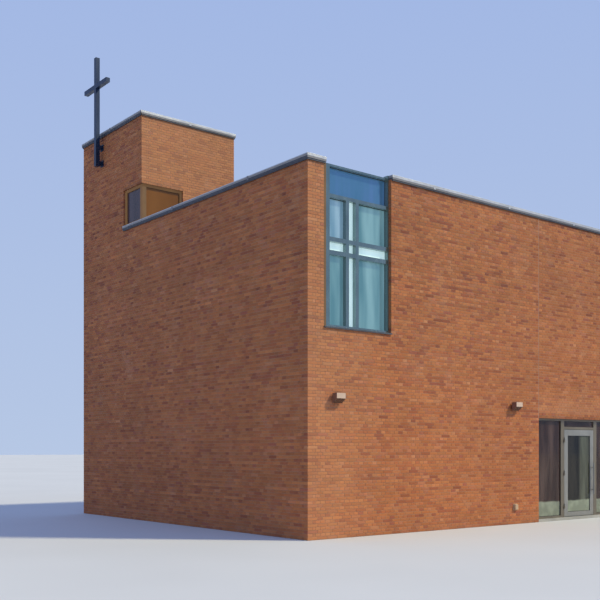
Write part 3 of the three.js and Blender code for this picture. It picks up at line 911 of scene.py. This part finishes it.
def build_copings():
    """Each coping stands over both faces of its wall, except where it meets a window or tower."""
    (west, past_w), (past_e, east) = over_wall(WEST), over_wall(INNER_E)
    (south, past_s), (past_n, north) = over_wall(SOUTH), over_wall(INNER_N)
    tower_s, tower_past_s = over_wall(TOWER_SOUTH)
    tower_past_e, tower_e = over_wall(TOWER_EAST - WALL)
    slot_n = SOUTH + SLOT_DEEP
    coping("coping_left", [[
        (west, south), (past_w, south), (past_w, slot_n), (INNER_W, slot_n), (INNER_W, INNER_S),
        (past_w, INNER_S), (past_w, tower_s), (NOTCH_E, tower_s), (NOTCH_E, TOWER_INNER),
        (INNER_W, TOWER_INNER), (INNER_W, NOTCH_N), (west, NOTCH_N)]], MAIN_TOP)
    coping("coping_front", [rectangle(SLOT_E, past_e, south, past_s)], MAIN_TOP)
    coping("coping_back", [rectangle(TOWER_EAST, BACK_W, past_n, north)], MAIN_TOP)
    coping("coping_right", [[
        (past_e, south), (east, south), (east, north), (INNER_E, north), (INNER_E, INNER_N),
        (past_e, INNER_N)]], MAIN_TOP)
    outer = rectangle(west, tower_e, tower_s, north)
    hole = rectangle(past_w, tower_past_e, tower_past_s, past_n)
    runs = [[outer[i], outer[(i + 1) % 4], hole[(i + 1) % 4], hole[i]] for i in range(4)]
    coping("coping_tower", runs, TOWER_TOP)


# Cover strips over the joints between coping sheets
SEAM_WIDE, SEAM_PROUD, SEAM_EVERY = 0.06, 0.003, 2.45
SEAM_FOOT, SEAM_SUNK = 0.004, 0.001
SUNNY, DIM = 0, 1


def seam(d, across, faces, at, top):
    """One strip over the sheet, and one down each of its faces."""
    inside, outside = faces
    along, high_z = around(at, SEAM_WIDE / 2), top + COPING_HIGH
    # Seam faces on the side away from the sun take the foot's grey, painted shade
    near_tone, far_tone = (DIM, SUNNY) if across == "x" else (SUNNY, DIM)
    for *width, z, finish in (
            (inside - SEAM_PROUD, outside + SEAM_PROUD, (high_z, high_z + SEAM_PROUD), SUNNY),
            (inside - SEAM_PROUD, inside + SEAM_SUNK, (top + SEAM_FOOT, high_z), near_tone),
            (outside - SEAM_SUNK, outside + SEAM_PROUD, (top + SEAM_FOOT, high_z), far_tone)):
        x, y = (along, width) if across == "y" else (width, along)
        d.block(x, y, z, finish)


def seams_between(start, end):
    count = max(1, round((end - start) / SEAM_EVERY))
    return [start + (end - start) * (i + 0.5) / count for i in range(count)]


def build_seams():
    front, back, left, right, tower_front, tower_right = [
        over_wall(face) for face in (SOUTH, INNER_N, WEST, INNER_E, TOWER_SOUTH, TOWER_EAST - WALL)]
    d = Detail()
    for across, faces, start, end, top in (
            ("y", front, SLOT_E, INNER_E, MAIN_TOP), ("y", back, TOWER_EAST, BACK_W, MAIN_TOP),
            ("x", right, SOUTH, NORTH, MAIN_TOP), ("x", left, INNER_S, TOWER_SOUTH, MAIN_TOP),
            ("y", tower_front, WEST, TOWER_EAST, TOWER_TOP), ("y", back, WEST, TOWER_EAST, TOWER_TOP),
            ("x", left, TOWER_SOUTH, NORTH, TOWER_TOP),
            ("x", tower_right, TOWER_SOUTH, NORTH, TOWER_TOP)):
        for at in seams_between(start, end):
            seam(d, across, faces, at, top)
    d.done("coping_joint_covers", [COPING, COPING_FOOT_SHADE], edge=0.001)


def gaskets(name, panes, body="building", outside="south", depth=0.004, width=0.009):
    """Black strips between panes and their frame."""
    d = Detail()
    for pane in panes:
        a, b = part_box(pane)
        x, y = (a.x, b.x), (a.y, b.y)
        if outside == "south":
            y = (a.y - depth, a.y)
        elif outside == "north":
            y = (b.y, b.y + depth)
        else:
            x = (a.x - depth, a.x)
        d.ring(x, y, (a.z, b.z), width)
    d.done(name, [RUBBER], body, edge=0.001)


def build_gaskets():
    gaskets("window_gaskets", [
        "window_pane_lower_left", "window_pane_lower_right", "window_pane_upper_left",
        "window_pane_upper_right", "window_spandrel_panel"])
    gaskets("back_window_gaskets", ["back_window_pane"], outside="north")
    gaskets("tower_window_front_gaskets", ["tower_window_pane_front"])
    gaskets("tower_window_side_gaskets", ["tower_window_pane_left"], outside="west")
    gaskets("entrance_gaskets", ["entrance_pane_left", "entrance_pane_right", "entrance_pane_over_door"])
    gaskets("door_gaskets", ["door_glass"], "entrance_door", depth=0.005)


# Window sills with a drip edge, and the corner window's cover beside its jamb
SILL_THICK, SILL_NOSE, SILL_LAP = 0.010, 0.03, 0.004
DRIP_THICK, DRIP_LOW = 0.004, 0.022
COVER_WIDE, COVER_THICK, COVER_OVER = 0.12, 0.006, 0.04


def build_sills():
    for name, x, face, out in (("window", (SLOT_W, SLOT_E), SOUTH, -1),
                               ("back_window", (BACK_W, BACK_E), NORTH, 1)):
        tip, back = face + out * SILL_NOSE, face - out * SLOT_DEEP
        x = (x[0] - SILL_LAP, x[1] + SILL_LAP)
        d = Detail()
        d.block(x, sorted((tip, back)), (SLOT_SILL, SLOT_SILL + SILL_THICK))
        d.block(x, sorted((tip, tip - out * DRIP_THICK)), (SLOT_SILL - DRIP_LOW, SLOT_SILL))
        d.done(name + "_sill_sheet", [SLATE_AND_SHADE])


def build_jamb_cover():
    frame_face = SOUTH + SLOT_DEEP
    d = Detail()
    d.block((SLOT_W, SLOT_W + COVER_WIDE), (frame_face - COVER_THICK, frame_face),
            (SLOT_SILL + SILL_THICK, high("window_spandrel_panel").z + COVER_OVER))
    d.done("window_jamb_cover", [BRONZE])


# Wall lamps: a hood over sloping glass between two cheeks, on a plate, with a dark lid. The cheeks are
# darker as painted shade
KNEE_DROP, LAMP_FOOT, CHEEK = 0.105, 0.015, 0.005
PLATE_DEEP, PLATE_HALF, PLATE_INSET = 0.03, 0.06, 0.03
LID_INSET, LID_THICK = 0.02, 0.004
HOOD, LENS_GLASS, CHEEKS = range(3)


def build_lamps():
    for node in ("wall_lamp_left", "wall_lamp_right"):
        a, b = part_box(node)
        front, back, top, bottom = a.y, b.y - PLATE_DEEP, b.z, a.z
        section = [(front, top), (front, top - KNEE_DROP), (back - LAMP_FOOT, bottom),
                   (back, bottom), (back, top)]
        left, right, middle = a.x + CHEEK, b.x - CHEEK, (a.x + b.x) / 2
        d = Detail()
        d.profile(section, (left, right), [HOOD, LENS_GLASS, HOOD, HOOD, HOOD])
        for x in ((a.x, left), (right, b.x)):
            d.profile(section, x, [CHEEKS] * len(section), CHEEKS)
        d.block(around(middle, PLATE_HALF), (back, SOUTH), (bottom + PLATE_INSET, top - PLATE_INSET))
        d.block((a.x + LID_INSET, b.x - LID_INSET), (front + LID_INSET, back - LID_INSET),
                (top, top + LID_THICK), LENS_GLASS)
        d.done(node + "_housing", [LAMP, LAMP_GLASS, LAMP_CHEEK_SHADE], replaces=[node],
               edge=0.003)


# The wall cross's fixings: its brackets' heights, their plates' bolts, and the post's end cap
BRACKETS = (9.285, 9.7)
POST_GAP, WALL_PLATE = 0.1, 0.013
BOLT_OUT = 0.058
NUT_RADIUS, NUT_THICK = 0.010, 0.010
WASHER_RADIUS, WASHER_THICK = 0.015, 0.003
CAP_LAP, CAP_THICK = 0.002, 0.005


def build_cross_fixings():
    a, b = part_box("wall_cross")
    middle = (a.y + b.y) / 2
    half = (WEST - a.x - POST_GAP) / 2
    post_x, cap_half = a.x + half, half + CAP_LAP
    plate_face = WEST - WALL_PLATE
    d = Detail()
    for z in BRACKETS:
        for y in around(middle, BOLT_OUT):
            for bolt_z in around(z, BOLT_OUT):
                d.rod((plate_face - NUT_THICK / 2, y, bolt_z), NUT_RADIUS, NUT_THICK, "x", sides=6)
                d.rod((plate_face - WASHER_THICK / 2, y, bolt_z), WASHER_RADIUS, WASHER_THICK, "x")
    d.block(around(post_x, cap_half), around(middle, cap_half), (b.z, b.z + CAP_THICK))
    d.done("wall_cross_fixings", [STEEL], edge=0.001)


# Entrance door: roses at the handle's ends, the lock, and the ribbed strip on the threshold
LEAF_PROUD = 0.016
LEAF_FACE = low("door_glass").y - LEAF_PROUD
ROSE_INSET, ROSE_RADIUS, ROSE_THICK = 0.12, 0.022, 0.006
LOCK_Z, CYLINDER_RADIUS, CYLINDER_LONG = 1.02, 0.017, 0.012
LOCK_PLATE_X, LOCK_PLATE_Z, LOCK_PLATE_THICK = 0.02, 0.06, 0.003
STRIP_DEEP, STRIP_THICK = 0.06, 0.004
RIBS, RIB_WIDE, RIB_HIGH = (0.012, 0.030, 0.048), 0.004, 0.003


def build_lock():
    a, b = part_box("door_handle")
    stile = (a.x + b.x) / 2
    d = Detail()
    for z in (a.z + ROSE_INSET, b.z - ROSE_INSET):
        d.rod((stile, LEAF_FACE - ROSE_THICK / 2, z), ROSE_RADIUS, ROSE_THICK, "y")
    d.rod((stile, LEAF_FACE - CYLINDER_LONG / 2, LOCK_Z), CYLINDER_RADIUS, CYLINDER_LONG, "y")
    d.block(around(stile, LOCK_PLATE_X), (LEAF_FACE - LOCK_PLATE_THICK, LEAF_FACE),
            around(LOCK_Z, LOCK_PLATE_Z))
    d.done("door_lock", [SILVER], "entrance_door", edge=0.001)


def build_threshold_strip():
    x, floor = reach("door_leaf"), high("entrance_threshold").z
    strip = floor + STRIP_THICK
    d = Detail()
    d.block(x, (LEAF_FACE, LEAF_FACE + STRIP_DEEP), (floor, strip))
    for rib in RIBS:
        d.block(x, (LEAF_FACE + rib, LEAF_FACE + rib + RIB_WIDE), (strip, strip + RIB_HIGH))
    d.done("door_threshold_strip", [SILVER], edge=0.0008)


# On the front wall: the movement joint's filling, and a socket of three layers with a hinged lid
FILLING_BACK, FILLING_SUNK, FILLING_STOP = 0.002, 0.001, 0.03
SOCKET_X, SOCKET_Z = WEST + 6.26, 0.40
LAYERS = ((0.065, -0.075, 0.075, 0.0, 0.010), (0.055, -0.065, 0.065, 0.010, 0.045),
          (0.050, -0.055, 0.045, 0.045, 0.058))
PIN_OUT, PIN_UP, PIN_RADIUS, PIN_LONG = 0.052, 0.052, 0.006, 0.09


def build_movement_joint():
    d = Detail()
    d.block(around(DOOR_W, HALF_JOINT), (SOUTH + FILLING_BACK, SOUTH + RECESS + FILLING_SUNK),
            (DOOR_HEAD, MAIN_TOP - FILLING_STOP))
    d.done("movement_joint_sealant", [SEALANT], edge=0.0008)


def build_socket():
    d = Detail()
    for half, bottom, top, near, far in LAYERS:
        d.block(around(SOCKET_X, half), (SOUTH - far, SOUTH - near), (SOCKET_Z + bottom, SOCKET_Z + top))
    d.rod((SOCKET_X, SOUTH - PIN_OUT, SOCKET_Z + PIN_UP), PIN_RADIUS, PIN_LONG, "x")
    d.done("wall_socket", [BEIGE], edge=0.003)


# Roofs: laps between the sheets of membrane, and the tower roof's own sheet
LAP_WIDE, LAP_THICK, LAP_EVERY = 0.09, 0.004, 1.0
FIRST_LAP, LAST_LAP = 0.5, 0.1
TOWER_SHEET, TOWER_LAPS = 0.005, (0.6, 1.3)


def build_roof_laps():
    d = Detail()
    for node in ("roof_covering_front", "roof_covering_back"):
        a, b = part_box(node)
        for at in np.arange(a.x + FIRST_LAP, b.x - LAST_LAP, LAP_EVERY):
            d.block((at, at + LAP_WIDE), (a.y, b.y), (b.z, b.z + LAP_THICK))
    a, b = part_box("tower_roof_slab")
    sheet = b.z + TOWER_SHEET
    d.block((a.x, b.x), (a.y, b.y), (b.z, sheet))
    for at in TOWER_LAPS:
        d.block((a.x + at, a.x + at + LAP_WIDE), (a.y, b.y), (sheet, sheet + LAP_THICK))
    d.done("roof_membrane_laps", [WALL_FINISHES[MEMBRANE]], edge=0.001)


# Finishes and softened edges of the pieces that stay as they are
NODE_FINISHES = (
    (CONCRETE, 0.003, ("floor_slab", "entrance_threshold", "roof_slab_front", "roof_slab_back",
                       "tower_roof_slab")),
    (WALL_FINISHES[MEMBRANE], 0.006, ("roof_covering_front", "roof_covering_back")),
    (FRAME, 0.003, ("window_frame", "back_window_frame", "window_roof_edge", "back_window_roof_edge")),
    (BRONZE, 0.003, ("tower_window_frame",)),
    (ENTRY, 0.0025, ("entrance_frame",)),
    (SILVER, 0.0025, ("door_leaf",)),
    (SILVER, 0, ("door_handle",)),
    (STEEL, 0.003, ("wall_cross",)),
    (SKY_GLASS, 0, ("window_pane_lower_left", "window_pane_lower_right",
                    "window_pane_upper_right", "back_window_pane")),
    (PALE_GLASS, 0, ("window_pane_upper_left",)),
    (OPAL, 0, ("window_opal_cross",)),
    (SPANDREL, 0, ("window_spandrel_panel",)),
    (HALL_GLASS, 0, ("entrance_pane_left", "entrance_pane_right", "entrance_pane_over_door")),
    (LEAF_GLASS, 0, ("door_glass",)),
    (SIDE_GLASS, 0, ("tower_window_pane_left",)),
    (BRONZE_GLASS, 0, ("tower_window_pane_front",)),
)


def finish_nodes():
    for material, edge, nodes in NODE_FINISHES:
        for node in nodes:
            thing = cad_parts[node]
            thing.data.materials.clear()
            thing.data.materials.append(material)
            if edge:
                soften(thing, edge)


# Studio: a pale floor, a sky that darkens upwards, and a sun whose shadows fall as the lamps' do
FLOOR_HALF, FLOOR_DROP = 300, 0.002
SKY_TONES = [(0.0, (0.60, 0.735, 1.0, 1)), (0.75, (0.375, 0.53, 0.99, 1))]
SKY_STRENGTH = 0.78
SUN_TURN, SUN_RISE, SUN_WIDE = map(math.radians, (45, 45, 5))
SUN_STRENGTH, SUN_COLOUR = 3.2, (1.0, 0.91, 0.59)


def add_floor():
    bm = bmesh.new()
    bmesh.ops.create_grid(bm, x_segments=8, y_segments=8, size=FLOOR_HALF)
    data = bpy.data.meshes.new("studio_floor")
    bm.to_mesh(data)
    bm.free()
    floor = placed("studio_floor", data, [pale_floor()])
    floor.location = (0, 0, -FLOOR_DROP)


def add_sky():
    world = bpy.data.worlds.new("studio")
    bpy.context.scene.world = world
    world.use_nodes = True
    tree = world.node_tree
    tree.nodes.clear()
    place, split, ramp, back, out = [
        tree.nodes.new("ShaderNode" + kind)
        for kind in ("TexCoord", "SeparateXYZ", "ValToRGB", "Background", "OutputWorld")]
    for source, node in ((place.outputs["Generated"], split), (split.outputs[2], ramp),
                         (ramp.outputs[0], back), (back.outputs[0], out)):
        tree.links.new(source, node.inputs[0])
    fill_ramp(ramp, SKY_TONES)
    back.inputs[1].default_value = SKY_STRENGTH


def add_sun():
    lamp = bpy.data.lights.new("key", "SUN")
    lamp.energy = SUN_STRENGTH
    lamp.angle = SUN_WIDE
    lamp.color = SUN_COLOUR
    placed("key", lamp).rotation_euler = (math.pi / 2 - SUN_RISE, 0, SUN_TURN)


# Camera: level at the eye's height, turned from +Y towards +X, with its picture shifted up
EYE = (-18.622, -18.307, 1.7316)
LOOK = 0.6767
LENS, SENSOR, SHIFT_UP = 54.67, 36, 0.25
FAR_END = 1000


def add_camera():
    view = bpy.data.cameras.new("camera")
    view.lens = LENS
    view.sensor_width = SENSOR
    view.shift_y = SHIFT_UP
    view.clip_end = FAR_END
    camera = placed("camera", view)
    camera.location = EYE
    camera.rotation_euler = (math.pi / 2, 0, -LOOK)
    bpy.context.scene.camera = camera


build_walls()
build_copings()
build_seams()
build_gaskets()
build_sills()
build_jamb_cover()
build_lamps()
build_cross_fixings()
build_lock()
build_threshold_strip()
build_movement_joint()
build_socket()
build_roof_laps()
finish_nodes()
add_floor()
add_sky()
add_sun()
add_camera()
bpy.context.scene.view_settings.view_transform = "Standard"
